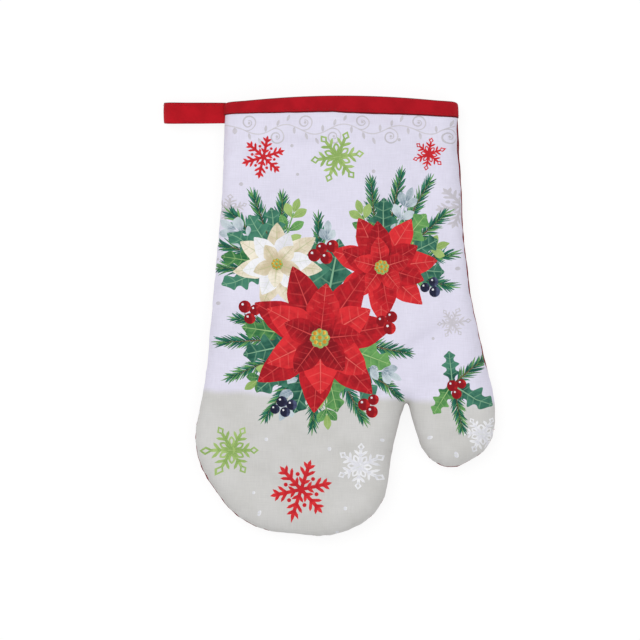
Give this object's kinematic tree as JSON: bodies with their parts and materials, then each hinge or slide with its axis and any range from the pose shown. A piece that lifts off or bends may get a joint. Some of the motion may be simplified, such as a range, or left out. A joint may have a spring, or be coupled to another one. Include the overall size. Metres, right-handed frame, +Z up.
{
  "type": "oven mitt",
  "caption": "Padded oven mitt with a separate thumb, a printed front, a plain back, wadding and a lining inside, a bound cuff and a tape loop to hang it by.",
  "frame": {"origin": "on the table, under the middle of the whole mitt's bounding box with the mitt lying on its back", "axes": "+Y from the fingertips to the cuff, +X across the hand towards the thumb, +Z up out of the printed front"},
  "size_m": [0.2115, 0.2799, 0.0275],
  "materials": {
    "print_cloth": "matte printed plain-weave cotton, pale grey-white ground with red, green and dark motifs",
    "back_cloth": "matte plain-weave cotton, dark red",
    "wadding": "soft needled fibre wadding",
    "lining": "plain natural cotton",
    "binding_tape": "matte folded cotton tape, red",
    "loop_tape": "matte folded cotton tape, red",
    "thread": "red sewing thread"
  },
  "bodies": {
    "mitt": {"front_panel": "print_cloth", "back_panel": "back_cloth", "front_wadding": "wadding", "back_wadding": "wadding", "front_lining": "lining", "back_lining": "lining", "side_seam": "thread", "cuff_binding": "binding_tape", "binding_stitching": "thread"},
    "loop": {"hanging_loop": "loop_tape", "loop_stitching": "thread"}
  },
  "joints": [
    {"name": "loop_swing", "type": "hinge", "parent": "mitt", "child": "loop", "pos_m": [-0.0697, 0.1297, 0.007], "axis": [0, 1, 0], "range_deg": [0, 90]}
  ]
}
